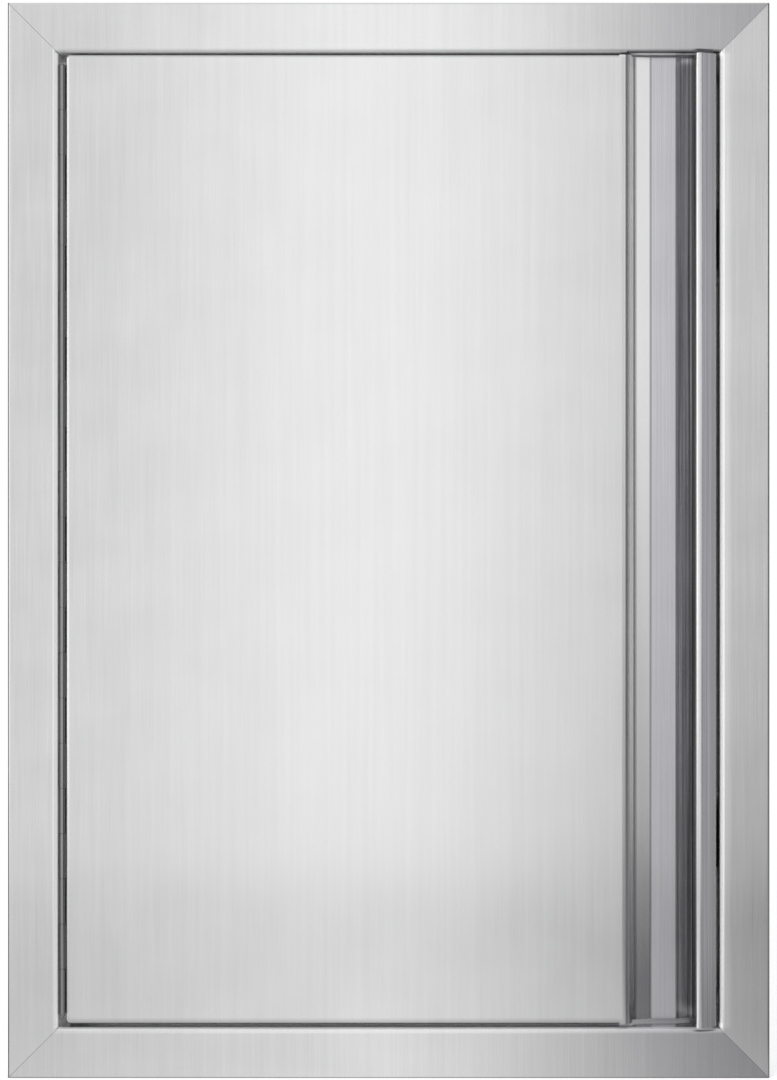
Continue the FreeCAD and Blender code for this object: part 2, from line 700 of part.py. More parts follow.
def make_catch(prefix, side):
    """Magnetic catch: a case on the jamb, a magnet between two pole plates, and the strike on the door."""
    level = f"({side}*{CATCH_HEIGHT})"

    def span(half):
        return f"({level} - {half})", f"({level} + {half})"

    block = catch_block(f"{prefix}_case_block", level)
    ear_low, ear_high = span("(catch_length/2 + catch_ear)")
    ears = box(
        f"{prefix}_case_ears",
        (f"({JAMB_RIGHT} - catch_ear_gauge)", f"({CATCH_SCREW_Y} - catch_ear_depth/2)", ear_low),
        (JAMB_RIGHT, f"({CATCH_SCREW_Y} + catch_ear_depth/2)", ear_high),
    )
    stack = "(magnet_thickness/2 + pole_gauge)"
    cavity_low, cavity_high = span("(magnet_length/2 + catch_play)")
    cavity = box(
        f"{prefix}_case_cavity",
        (f"({CATCH_X} - {stack} - catch_play)", f"({CATCH_FRONT} - catch_play)", cavity_low),
        (f"({CATCH_X} + {stack} + catch_play)", f"({CATCH_FRONT} + {CAVITY_DEPTH})", cavity_high),
    )
    hole_start = f"({JAMB_RIGHT} - 1.5*catch_ear_gauge)"
    screw_holes = [
        cylinder(f"{prefix}_case_hole", "catch_screw_radius", "2*catch_ear_gauge",
                 (hole_start, CATCH_SCREW_Y, f"({level} + {end}*{CATCH_SCREW_Z})"), ALONG_X)
        for end in (-1, 1)
    ]
    case = cut(f"{prefix}_catch_case", fuse(f"{prefix}_case_whole", [block, ears]), [cavity] + screw_holes)
    sub_part(case, f"{prefix}_catch_case")

    magnet_low, magnet_high = span("(magnet_length/2)")
    magnet = box(f"{prefix}_catch_magnet",
                 (f"({CATCH_X} - magnet_thickness/2)", CATCH_FRONT, magnet_low),
                 (f"({CATCH_X} + magnet_thickness/2)", f"({CATCH_FRONT} + magnet_depth)", magnet_high))
    sub_part(magnet, f"{prefix}_catch_magnet")

    poles = [
        box(f"{prefix}_pole", (f"({CATCH_X} - {stack})", POLE_FACE, magnet_low),
            (f"({CATCH_X} - magnet_thickness/2)", f"({CATCH_FRONT} + magnet_depth)", magnet_high)),
        box(f"{prefix}_pole", (f"({CATCH_X} + magnet_thickness/2)", POLE_FACE, magnet_low),
            (f"({CATCH_X} + {stack})", f"({CATCH_FRONT} + magnet_depth)", magnet_high)),
    ]
    sub_part(group(f"{prefix}_pole_plates", poles), f"{prefix}_pole_plates")

    body = doc.addObject("PartDesign::Body", f"{prefix}_strike_plate")
    outline = [
        ("(-strike_width/2)", "(-strike_length/2)"),
        ("(strike_width/2)", "(-strike_length/2)"),
        ("(strike_width/2)", "(strike_length/2)"),
        ("(-strike_width/2)", "(strike_length/2)"),
    ]
    sketch = sketch_on(body, f"{prefix}_strike_outline", "XZ_Plane", outline)
    pad = body.newObject("PartDesign::Pad", f"{prefix}_strike_pad")
    pad.Profile = sketch
    bind(pad, Length="strike_gauge")
    doc.recompute()
    corners = body.newObject("PartDesign::Fillet", f"{prefix}_strike_corners")

    def is_corner(bounds):
        return near(bounds.XMin, bounds.XMax) and near(bounds.ZMin, bounds.ZMax)

    corners.Base = (pad, named(pad.Shape, "Edge", is_corner))
    bind(corners, Radius="strike_round")
    body.Tip = corners
    place(body, CATCH_X, STRIKE_FACE, level)
    sub_part(body, f"{prefix}_strike_plate")


def make_catch_screws():
    """Pan-head screws through the catches' ears and the jamb."""
    screws = []
    face = f"({JAMB_RIGHT} - catch_ear_gauge)"
    for height in catch_screw_heights():
        shank = cylinder("catch_screw_shank", "(catch_screw_radius - catch_screw_play)",
                         "(catch_ear_gauge + frame_gauge + catch_screw_tail)",
                         (face, CATCH_SCREW_Y, height), ALONG_X)
        head = cylinder("catch_screw_head", "catch_screw_head_radius", "catch_screw_head_height",
                        (f"({face} - catch_screw_head_height)", CATCH_SCREW_Y, height), ALONG_X)
        drive = cylinder("catch_screw_drive", "catch_screw_drive", "catch_screw_head_height",
                         (f"({face} - 1.5*catch_screw_head_height)", CATCH_SCREW_Y, height), ALONG_X)
        screws.append(cut("catch_screw", fuse("catch_screw_whole", [shank, head]), [drive]))
    sub_part(group("catch_screws", screws), "catch_screws")


def check_document():
    """Stop if any object failed, or a piece has no sound solid."""
    for thing in doc.Objects:
        if "Invalid" in thing.State or "Error" in thing.State:
            raise RuntimeError(f"{thing.Label} failed: {thing.State}")
    for piece in sub_parts:
        shape = piece.Shape
        if shape.isNull() or not shape.isValid() or not shape.Solids:
            raise RuntimeError(f"{piece.Label} has no valid solid")


make_frame()
make_corner_plates()
make_hinge()
make_door_skin()
make_door_liner()
make_stiffener("upper_stiffener", 1)
make_stiffener("lower_stiffener", -1)
make_catch("upper", 1)
make_catch("lower", -1)
make_catch_screws()
doc.recompute()
check_document()

os.makedirs("parts", exist_ok=True)
for piece in sub_parts:
    piece.Shape.exportStep(f"parts/{piece.Label}.step")
    bounds = piece.Shape.BoundBox
    print(f"{piece.Label}: {len(piece.Shape.Solids)} solids, {piece.Shape.Volume:.1f} mm3,"
          f" x {bounds.XMin:.2f} to {bounds.XMax:.2f}, y {bounds.YMin:.2f} to {bounds.YMax:.2f},"
          f" z {bounds.ZMin:.2f} to {bounds.ZMax:.2f}")
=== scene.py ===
import math

import bmesh
import bpy
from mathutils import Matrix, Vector


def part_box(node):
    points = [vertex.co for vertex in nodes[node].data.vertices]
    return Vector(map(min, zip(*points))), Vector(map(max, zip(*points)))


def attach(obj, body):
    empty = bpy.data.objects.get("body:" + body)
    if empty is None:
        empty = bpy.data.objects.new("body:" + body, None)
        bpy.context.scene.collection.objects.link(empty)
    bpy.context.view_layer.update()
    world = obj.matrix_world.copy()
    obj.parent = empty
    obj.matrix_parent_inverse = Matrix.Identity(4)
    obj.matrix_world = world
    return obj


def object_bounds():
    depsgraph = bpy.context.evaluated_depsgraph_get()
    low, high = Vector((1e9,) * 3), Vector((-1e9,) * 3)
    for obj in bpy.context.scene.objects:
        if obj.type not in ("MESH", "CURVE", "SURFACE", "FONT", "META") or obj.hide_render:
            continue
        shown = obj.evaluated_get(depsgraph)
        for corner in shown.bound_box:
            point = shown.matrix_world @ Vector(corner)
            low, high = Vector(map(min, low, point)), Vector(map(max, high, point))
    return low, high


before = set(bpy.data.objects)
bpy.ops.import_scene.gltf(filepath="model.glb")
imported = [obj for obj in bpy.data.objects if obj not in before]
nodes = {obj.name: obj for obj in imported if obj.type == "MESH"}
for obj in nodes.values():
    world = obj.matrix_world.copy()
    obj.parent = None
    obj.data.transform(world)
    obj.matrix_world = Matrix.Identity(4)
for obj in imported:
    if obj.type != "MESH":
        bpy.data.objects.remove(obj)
cad_low, cad_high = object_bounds()

# Frame's front plane, which the camera is parallel to, and the floor that the door stands on
FRONT_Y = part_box("frame_left_stile")[0].y
FLOOR_Z = cad_low.z

# Camera: its distance from the frame in metres, its sensor in millimetres, and in pixels of the picture the
# frame's height, the frame's centre and the row that is level with the camera
PICTURE_WIDTH = 777
PICTURE_HEIGHT = 1080
CAMERA_DISTANCE = 1.6
SENSOR_HEIGHT = 36.0
FRAME_PIXELS = 1076.1
FRAME_CENTRE_X = 388.65
FRAME_CENTRE_Y = 540.45
VANISHING_Y = 378

# Studio, in metres: a light wall in front of the door and cards beside it, which only the metal's sheen
# shows, and the floor
WALL_Y = -0.62
WALL_TOP = 1.3
SIDE_X = 1.3
SIDE_END_Y = 0.3
BACK_END_Y = 2.5
FLOOR_REACH = 8.0
# Light across wall and floor, where 1 is white. Its levels are LEVEL_STEP apart, from left to right, and
# the first is at LEVEL_START. The wall has WALL_LOW at its foot and WALL_HIGH from LEVEL_HEIGHT up.
LEVEL_START = -0.6
LEVEL_STEP = 0.3
LEVEL_HEIGHT = 0.1
BRIGHTEST = 1.7
WALL_HIGH = (1.30, 0.77, 1.49, 0.65, 1.26, 0.16)
WALL_LOW = (1.42, 0.83, 1.49, 0.45, 0.50, 0.19)
FLOOR_LEVELS = (0.97, 0.75, 1.14, 0.29, 0.43)
FLOOR_GREY = 0.8
FLOOR_LIFT = 0.5
# Cards: name, place to the side, front end, back end, colour and strength
CARDS = [
    ("left_card", -SIDE_X, WALL_Y, SIDE_END_Y, (1.0, 1.0, 1.0), 1.7),
    ("right_card", SIDE_X, WALL_Y, SIDE_END_Y, (0.96, 0.96, 1.0), 0.5),
    ("left_back_card", -SIDE_X, SIDE_END_Y, BACK_END_Y, (1.0, 1.0, 1.0), 0.25),
    ("right_back_card", SIDE_X, SIDE_END_Y, BACK_END_Y, (1.0, 1.0, 1.0), 0.1),
]
# Soft fill and soft lamp, which the metal's sheen doesn't show, in metres and watts
FILL_GREY = 0.9
FILL_STRENGTH = 0.7
KEY_PLACE = (-0.9, -1.8, 1.4)
KEY_SIZE = 1.2
KEY_POWER = 20

# Satin steel of the frame and of the door's skin: colours of its dark and light streaks, roughness, and how
# far the streaks change that
SATIN = {"dark": (0.60, 0.60, 0.605), "light": (0.69, 0.69, 0.695), "rough": 0.24, "spread": 0.03}
# Sheet steel's grain: a fine streak's width, length and depth in metres, and how strong its relief is
STREAK_WIDTH = 0.00045
STREAK_LENGTH = 0.06
STREAK_DEPTH = 0.00004
STREAK_RELIEF = 0.06
# How far fine streaks, broad streaks and clouds move the sheet's tone either way, how far clouds move its
# roughness, and how far its sheen is drawn out sideways, from 0 to 1
FINE_SHARE = 0.2
BROAD_SHARE = 0.12
CLOUD_SHARE = 0.15
CLOUD_GLOSS = 0.01
SHEEN_STRETCH = 0.7
# How soft the edges of coarser grain are, in metres
COARSE_SOFTNESS = 0.0006
# Plain metal: range of the fine grain and of the clouds in its tone, how far clouds move its roughness, and
# how strong its relief is
METAL_FINE = (0.2, 0.5)
METAL_CLOUD = (0.0, 0.4)
METAL_GLOSS = 0.05
METAL_RELIEF = 0.4
# Moulded material: how far its texture moves the roughness, and how strong its relief is
MOULDED_GLOSS = 0.06
MOULDED_RELIEF = 0.6
# Scale of the clouds in a material's tone, in number per metre
SHEET_CLOUDS = 30.0
METAL_CLOUDS = 120.0
MOULDED_CLOUDS = 200.0

# Places on the object, in metres, as ranges along an axis. A range may end with a softness of its own.
BETWEEN_STILES = ("X", -0.1874, 0.1874)
BETWEEN_RAILS = ("Z", -0.2763, 0.2763)
FRAME_FRONT = ("Y", -0.02, -0.0068)
HINGE_FRONT = ("Y", -0.02, -0.0070)
BEHIND_PULL = ("Y", -0.0155, 0.1)
PULL_FRONT = ("Y", -0.1, -0.0155)
RECESS_FLOOR = ("X", 0.1500, 0.1646)
POCKET = ("X", 0.1646, 0.1780)
LEDGE_FOOT = ("Z", -0.5, -0.222, 0.17)
RIGHT_END = ("X", 0.11, 0.6, 0.12)

# Painted shading: painted shade, painted highlights and a bluish painted reflection, which make the steel
# darker, lighter or bluer at its edges, bends and gaps, as they look in the photograph: what multiplies the
# colour (a grey level or a colour), how soft the mark's edges are, and the ranges that it covers
FRAME_PAINTED_SHADING = [
    # painted shade along the outer edges
    (0.22, 0.0005, ("X", -0.3, -0.2151)),
    (0.40, 0.0005, ("X", 0.2151, 0.3)),
    (0.25, 0.0005, ("Z", -0.4, -0.3041)),
    # rolled edges of the opening: painted shade on the top rail's lower edge, painted highlights on the
    # others and under the top jamb
    (0.75, 0.0036, ("Z", 0.2700, 0.2779), BETWEEN_STILES, ("Y", -0.02, -0.0070)),
    (0.50, 0.0010, ("Z", 0.2762, 0.2775), ("X", 0.1350, 0.1874), ("Y", -0.02, -0.0066)),
    (1.45, 0.0006, ("Z", 0.2700, 0.2790), ("X", -0.1874, 0.1870), ("Y", -0.0066, 0.0040)),
    (1.20, 0.0012, ("Z", -0.2776, -0.2700), BETWEEN_STILES),
    (1.40, 0.0012, ("X", -0.1886, -0.1850), BETWEEN_RAILS),
    (1.50, 0.0010, ("X", 0.1874, 0.1892), BETWEEN_RAILS, FRAME_FRONT),
    (1.20, 0.0040, ("X", 0.1885, 0.1932), BETWEEN_RAILS),
]
# Painted shade on the latch jamb, up to the front of its return
STILE_PAINTED_SHADE = [(0.40, 0.0005, ("X", 0.1600, 0.1880), ("Y", -0.0068, 0.0372), ("Z", -0.2760, 0.2760))]
# Painted shade, slightly blue, on the rails' right ends
TOP_PAINTED_SHADE = [((0.66, 0.655, 0.675), 0.20, ("X", 0.155, 0.6))]
BOTTOM_PAINTED_SHADE = [((0.72, 0.715, 0.735), 0.16, ("X", 0.135, 0.6))]
DOOR_PAINTED_SHADING = [
    # painted highlight on the left rolled edge, painted shade on the lower one
    (1.25, 0.0008, ("X", -0.19, -0.1820)),
    (0.62, 0.0044, ("Z", -0.3, -0.2720), ("X", -0.2, 0.132)),
    # recess: painted shade in its bends and crease, painted highlights on its wall and ledge, a slight
    # painted shade with a blue cast on its floor, and painted shade, slightly blue, growing towards the
    # foot of wall and ledge
    (0.55, 0.0008, ("X", 0.1343, 0.1358)),
    (1.50, 0.0014, ("X", 0.1377, 0.1397)),
    (0.50, 0.0006, ("X", 0.1396, 0.1404)),
    (0.72, 0.0008, ("X", 0.1403, 0.1418)),
    (1.20, 0.0008, ("X", 0.1412, 0.1490)),
    (0.62, 0.0005, ("X", 0.1493, 0.1504)),
    ((0.89, 0.885, 0.92), 0.0006, RECESS_FLOOR, BEHIND_PULL),
    ((0.36, 0.355, 0.375), 0.0006, ("X", 0.1402, 0.1497), LEDGE_FOOT),
    ((0.74, 0.735, 0.76), 0.0006, ("X", 0.1360, 0.1402), LEDGE_FOOT),
    # pocket behind the pull, with a slight painted shade and a blue cast, and painted shade at its edges
    # and under the pull's curl; the pull, with painted highlights on its nose and face and painted shade at
    # its right edge and in the latch gap
    ((0.94, 0.935, 0.965), 0.0006, POCKET, BEHIND_PULL),
    (0.75, 0.0008, ("X", 0.1640, 0.1662), BEHIND_PULL),
    (0.55, 0.0006, ("X", 0.1716, 0.1727), BEHIND_PULL),
    (0.25, 0.0006, ("X", 0.1736, 0.1765), BEHIND_PULL),
    (0.88, 0.0008, ("X", 0.1824, 0.1838), ("Y", -0.1, -0.0100)),
    (1.40, 0.0006, ("X", 0.1730, 0.1746), PULL_FRONT),
    ((1.18, 1.16, 1.20), 0.0010, ("X", 0.1754, 0.1842), PULL_FRONT),
    (0.60, 0.0006, ("X", 0.1848, 0.1900), ("Y", -0.1, 0.1)),
]
# Painted shade on the hinge's front to either side of the knuckle's highlight
HINGE_PAINTED_SHADE = [
    (0.42, 0.0006, ("X", -0.19, -0.1857), HINGE_FRONT),
    (0.50, 0.0006, ("X", -0.1848, -0.18), HINGE_FRONT),
]
# Painted highlights: places that are shown as less metallic, which makes them lighter: by how much, from 0
# to
# 1, how soft their edges are, and the ranges that they cover
FRAME_PAINTED_HIGHLIGHTS = [
    (0.9, 0.0008, ("X", 0.1878, 0.1890), FRAME_FRONT, BETWEEN_RAILS),
    (0.9, 0.0012, ("X", -0.1896, -0.1868), FRAME_FRONT, BETWEEN_RAILS),
    (0.7, 0.0008, ("Z", -0.2774, -0.2757), FRAME_FRONT, BETWEEN_STILES),
    (0.6, 0.0010, ("Z", 0.2760, 0.2775), FRAME_FRONT, ("X", -0.1874, 0.1350)),
    (0.8, 0.0006, ("Z", 0.2700, 0.2790), ("Y", -0.0066, 0.0010), BETWEEN_STILES),
]
DOOR_PAINTED_HIGHLIGHTS = [
    (1.0, 0.0012, ("X", 0.1367, 0.1396), ("Z", -0.16, 0.4, 0.2)),
    (0.6, 0.0010, ("Z", 0.2741, 0.28), ("X", -0.2, 0.1343)),
]
HINGE_PAINTED_HIGHLIGHTS = [(0.7, 0.0010, ("Y", -0.0064, 0.1))]
# Coarser grain on the rails, on the recess's floor and on the pull, and painted shade in dark streaks in
# the
# pocket: the level of its dark streaks, and the ranges that it covers
TOP_GRAIN = [(0.95, RIGHT_END)]
BOTTOM_GRAIN = [(0.965, ("X", -0.3, 0.3)), (0.97, RIGHT_END)]
DOOR_GRAIN_AND_SHADE = [
    (0.92, RECESS_FLOOR, BEHIND_PULL),
    (0.30, POCKET, BEHIND_PULL),
    (0.72, ("X", 0.1646, 0.1845), PULL_FRONT),
]

# Welds in the frame's mitres, in metres: their size, and for each turn of the sheet how far in its centre
# is, the radius of the sheet's middle, and which way the sheet's face points there, in degrees from the
# outer edge
WELD_WIDTH = 0.00024
WELD_THICKNESS = 0.0009
EDGE_TURN = (0.0016, 0.0010, (0, 30, 60, 90))
OPENING_TURN = (0.0253, 0.0026, (90, 105, 120, 135, 150, 165, 180))
OPENING_BEND = 0.0032
WELD_END_Y = 0.034

# Sockets of Blender's Mix node that hold the two colours and their result
MIX_FIRST = 6
MIX_SECOND = 7
MIX_RESULT = 2


def make_camera():
    """Camera square to the door, above its middle, shifted down so that the door fills the picture."""
    metres_per_pixel = (cad_high.z - cad_low.z) / FRAME_PIXELS
    view_height = PICTURE_HEIGHT * metres_per_pixel
    data = bpy.data.cameras.new("camera")
    data.sensor_fit = "VERTICAL"
    data.sensor_height = SENSOR_HEIGHT
    data.lens = SENSOR_HEIGHT * CAMERA_DISTANCE / view_height
    data.shift_y = (VANISHING_Y - PICTURE_HEIGHT / 2) / PICTURE_HEIGHT
    data.clip_start = 0.01
    data.clip_end = 50.0
    camera = bpy.data.objects.new("camera", data)
    bpy.context.scene.collection.objects.link(camera)
    centre = (cad_low + cad_high) / 2
    off_x = (PICTURE_WIDTH / 2 - FRAME_CENTRE_X) * metres_per_pixel
    off_z = (FRAME_CENTRE_Y - VANISHING_Y) * metres_per_pixel
    camera.location = (centre.x + off_x, FRONT_Y - CAMERA_DISTANCE, centre.z + off_z)
    camera.rotation_euler = (math.pi / 2, 0, 0)
    bpy.context.scene.camera = camera


def make_world():
    """White all round for the camera, for metal and for glass, and a soft fill for everything else."""
    world = bpy.data.worlds.new("studio")
    bpy.context.scene.world = world
    world.use_nodes = True
    tree = world.node_tree
    tree.nodes.clear()
    output = tree.nodes.new("ShaderNodeOutputWorld")
    mix = tree.nodes.new("ShaderNodeMixShader")
    fill = tree.nodes.new("ShaderNodeBackground")
    fill.inputs["Color"].default_value = (FILL_GREY, FILL_GREY, FILL_GREY, 1)
    fill.inputs["Strength"].default_value = FILL_STRENGTH
    white = tree.nodes.new("ShaderNodeBackground")
    white.inputs["Color"].default_value = (1, 1, 1, 1)
    white.inputs["Strength"].default_value = 1.0
    path = tree.nodes.new("ShaderNodeLightPath")
    shiny = tree.nodes.new("ShaderNodeMath")
    shiny.operation = "MAXIMUM"
    seen = tree.nodes.new("ShaderNodeMath")
    seen.operation = "MAXIMUM"
    tree.links.new(path.outputs["Is Glossy Ray"], shiny.inputs[0])
    tree.links.new(path.outputs["Is Transmission Ray"], shiny.inputs[1])
    tree.links.new(path.outputs["Is Camera Ray"], seen.inputs[0])
    tree.links.new(shiny.outputs[0], seen.inputs[1])
    tree.links.new(seen.outputs[0], mix.inputs["Fac"])
    tree.links.new(fill.outputs[0], mix.inputs[1])
    tree.links.new(white.outputs[0], mix.inputs[2])
    tree.links.new(mix.outputs[0], output.inputs["Surface"])


class Surface:
    """A node material being built, with its principled shader."""

    def __init__(self, name):
        self.material = bpy.data.materials.new(name)
        self.material.use_nodes = True
        self.tree = self.material.node_tree
        self.shader = self.tree.nodes["Principled BSDF"]
        self.place = self.node("ShaderNodeTexCoord").outputs["Object"]

    def node(self, kind, **settings):
        made = self.tree.nodes.new(kind)
        for name, value in settings.items():
            setattr(made, name, value)
        return made

    def link(self, source, target):
        self.tree.links.new(source, target)

    def noise(self, vector, scale, detail=2.0, roughness=0.5):
        texture = self.node("ShaderNodeTexNoise")
        texture.inputs["Scale"].default_value = scale
        texture.inputs["Detail"].default_value = detail
        texture.inputs["Roughness"].default_value = roughness
        self.link(vector, texture.inputs["Vector"])
        return texture.outputs["Fac"]

    def streaks(self, width, length, detail=2.0, roughness=0.5):
        """Noise drawn out into upright streaks, given by their width and length in metres."""
        mapping = self.node("ShaderNodeMapping")
        mapping.inputs["Scale"].default_value = (1 / width, 1 / width, 1 / length)
        self.link(self.place, mapping.inputs["Vector"])
        return self.noise(mapping.outputs["Vector"], 1.0, detail, roughness)

    def remap(self, value, low, high, from_low=0.3, from_high=0.7):
        """Noise spread from its usual range to another."""
        node = self.node("ShaderNodeMapRange")
        node.inputs["From Min"].default_value = from_low
        node.inputs["From Max"].default_value = from_high
        node.inputs["To Min"].default_value = low
        node.inputs["To Max"].default_value = high
        self.link(value, node.inputs["Value"])
        return node.outputs["Result"]

    def combine(self, operation, first, second):
        node = self.node("ShaderNodeMath", operation=operation)
        for socket, value in zip(node.inputs, (first, second)):
            if isinstance(value, (int, float)):
                socket.default_value = value
            else:
                self.link(value, socket)
        return node.outputs[0]

    def grey_to_colour(self, value, dark, light):
        """Colour between two, by a value from 0 to 1."""
        node = self.node("ShaderNodeValToRGB")
        node.color_ramp.elements[0].color = (*dark, 1)
        node.color_ramp.elements[1].color = (*light, 1)
        self.link(value, node.inputs["Fac"])
        return node.outputs["Color"]

    def inside(self, ranges, softness):
        """1 within all the ranges, each an axis, two limits and maybe its own softness, and 0 outside."""
        split = self.node("ShaderNodeSeparateXYZ")
        self.link(self.place, split.inputs[0])
        covered = 1.0
        for axis, low, high, *own in ranges:
            soft = own[0] if own else softness
            rise = self.step(split.outputs[axis], low, soft)
            fall = self.step(split.outputs[axis], high, soft)
            covered = self.combine("MULTIPLY", covered, self.combine("SUBTRACT", rise, fall))
        return covered

    def step(self, value, limit, softness):
        """0 below the limit and 1 above it, with a smooth rise between."""
        node = self.node("ShaderNodeMapRange", interpolation_type="SMOOTHSTEP")
        node.inputs["From Min"].default_value = limit - softness / 2
        node.inputs["From Max"].default_value = limit + softness / 2
        self.link(value, node.inputs["Value"])
        return node.outputs["Result"]

    def tinted(self, colour, tint, covered):
        """Colour multiplied by a tint, a grey level or a colour, where it is covered."""
        if isinstance(tint, float):
            tint = (tint, tint, tint)
        node = self.node("ShaderNodeMix", data_type="RGBA", blend_type="MULTIPLY")
        self.link(covered, node.inputs["Factor"])
        self.link(colour, node.inputs[MIX_FIRST])
        node.inputs[MIX_SECOND].default_value = (*tint, 1)
        return node.outputs[MIX_RESULT]

    def bump(self, height, strength, distance):
        node = self.node("ShaderNodeBump")
        node.inputs["Strength"].default_value = strength
        node.inputs["Distance"].default_value = distance
        self.link(height, node.inputs["Height"])
        self.link(node.outputs["Normal"], self.shader.inputs["Normal"])

    def draw_out_sideways(self, amount):
        """Sheen drawn out across a vertical grain."""
        self.shader.inputs["Anisotropic"].default_value = amount
        normal = self.node("ShaderNodeNewGeometry").outputs["Normal"]
        level = self.node("ShaderNodeVectorMath", operation="CROSS_PRODUCT")
        # Sideways along the surface. The slight tilt of the axis keeps it sound where the surface faces up.
        level.inputs[0].default_value = (0.02, 0.0, 1.0)
        self.link(normal, level.inputs[1])
        self.link(level.outputs["Vector"], self.shader.inputs["Tangent"])


def brushed_steel(name, dark, light, rough, spread, width=STREAK_WIDTH, length=STREAK_LENGTH, **zones):
    """Sheet with an upright grain: streaks in colour and gloss, and a sheen drawn out sideways.

    Width and length are a fine streak's, in metres, and broad and coarser streaks are multiples of them.
    The zones are painted shading (painted shade, painted highlights and a bluish painted reflection in the
    colour), coarser grain that also paints shade in dark streaks, and painted highlights shown as less
    metallic, with rows like those of the frame's painted shading, the door's grain and the frame's painted
    highlights.
    """
    surface = Surface(name)
    shader = surface.shader
    fine = surface.streaks(width, length, detail=3.0, roughness=0.6)
    broad = surface.streaks(8 * width, 3 * length)
    cloud = surface.noise(surface.place, SHEET_CLOUDS)
    streaks = surface.combine("ADD", surface.remap(fine, -FINE_SHARE, FINE_SHARE),
                              surface.remap(broad, -BROAD_SHARE, BROAD_SHARE))
    tone = surface.combine("ADD", streaks, surface.remap(cloud, 0.5 - CLOUD_SHARE, 0.5 + CLOUD_SHARE))
    colour = surface.grey_to_colour(tone, dark, light)
    # Painted shade, painted highlights and a bluish painted reflection multiply the colour
    for tint, softness, *ranges in zones.get("marks", ()):
        colour = surface.tinted(colour, tint, surface.inside(ranges, softness))
    # Coarser grain, which in the pocket is painted shade in dark streaks
    if "coarse" in zones:
        coarse_streaks = surface.streaks(2 * width, 4 * length, detail=3.0, roughness=0.7)
        coarse_streaks = surface.remap(coarse_streaks, 0.0, 1.0, from_low=0.35, from_high=0.65)
        for tint, *ranges in zones["coarse"]:
            grain_and_shade_streaks = surface.combine("MULTIPLY", coarse_streaks, surface.inside(ranges, COARSE_SOFTNESS))
            colour = surface.tinted(colour, tint, grain_and_shade_streaks)
    surface.link(colour, shader.inputs["Base Color"])
    shader.inputs["Metallic"].default_value = 1.0
    # Painted highlights: less metallic, so lighter
    if "pale" in zones:
        metallic = 1.0
        for paleness, softness, *ranges in zones["pale"]:
            covered = surface.combine("MULTIPLY", surface.inside(ranges, softness), paleness)
            metallic = surface.combine("SUBTRACT", metallic, covered)
        surface.link(metallic, shader.inputs["Metallic"])
    sheen = surface.remap(cloud, rough - CLOUD_GLOSS, rough + CLOUD_GLOSS)
    surface.link(surface.combine("ADD", surface.remap(fine, -spread, spread), sheen),
                 shader.inputs["Roughness"])
    surface.draw_out_sideways(SHEEN_STRETCH)
    surface.bump(fine, STREAK_RELIEF, STREAK_DEPTH)
    return surface.material


def grained_metal(name, dark, light, rough, grain, depth):
    """Plain metal with a fine even grain, given by its size and depth in metres."""
    surface = Surface(name)
    fine = surface.noise(surface.place, 1 / grain, detail=3.0, roughness=0.6)
    cloud = surface.noise(surface.place, METAL_CLOUDS)
    tone = surface.combine("ADD", surface.remap(fine, *METAL_FINE), surface.remap(cloud, *METAL_CLOUD))
    surface.link(surface.grey_to_colour(tone, dark, light), surface.shader.inputs["Base Color"])
    surface.shader.inputs["Metallic"].default_value = 1.0
    gloss = surface.remap(cloud, rough - METAL_GLOSS, rough + METAL_GLOSS)
    surface.link(gloss, surface.shader.inputs["Roughness"])
    surface.bump(fine, METAL_RELIEF, depth)
    return surface.material


def moulded(name, dark, light, rough, grain, depth):
    """Dull moulded or sintered material with a fine texture, given by its size and depth in metres."""
    surface = Surface(name)
    fine = surface.noise(surface.place, 1 / grain)
    cloud = surface.noise(surface.place, MOULDED_CLOUDS)
    surface.link(surface.grey_to_colour(cloud, dark, light), surface.shader.inputs["Base Color"])
    gloss = surface.remap(fine, rough - MOULDED_GLOSS, rough + MOULDED_GLOSS)
    surface.link(gloss, surface.shader.inputs["Roughness"])
    surface.bump(fine, MOULDED_RELIEF, depth)
    return surface.material


def give(material, *names):
    """Put a material on CAD nodes."""
    for name in names:
        mesh = nodes[name].data
        mesh.materials.clear()
        mesh.materials.append(material)


def dress_frame():
    stiles = brushed_steel("frame_steel", **SATIN, marks=FRAME_PAINTED_SHADING + STILE_PAINTED_SHADE, pale=FRAME_PAINTED_HIGHLIGHTS)
    give(stiles, "frame_left_stile", "frame_right_stile")
    top = brushed_steel("top_rail_steel", **SATIN, marks=FRAME_PAINTED_SHADING + TOP_PAINTED_SHADE, coarse=TOP_GRAIN,
                        pale=FRAME_PAINTED_HIGHLIGHTS)
    give(top, "frame_top_rail")
    bottom = brushed_steel("bottom_rail_steel", **SATIN, marks=FRAME_PAINTED_SHADING + BOTTOM_PAINTED_SHADE,
                           coarse=BOTTOM_GRAIN, pale=FRAME_PAINTED_HIGHLIGHTS)
    give(bottom, "frame_bottom_rail")


def dress_door():
    skin = brushed_steel("door_steel", **SATIN, marks=DOOR_PAINTED_SHADING, coarse=DOOR_GRAIN_AND_SHADE, pale=DOOR_PAINTED_HIGHLIGHTS)
    give(skin, "door_skin")


def dress_inner_sheets():
    mill = brushed_steel("mill_steel", (0.55, 0.55, 0.56), (0.64, 0.64, 0.65), rough=0.42, spread=0.05,
                         width=0.0012, length=0.03)
    give(mill, "corner_plates", "door_liner", "upper_stiffener", "lower_stiffener")


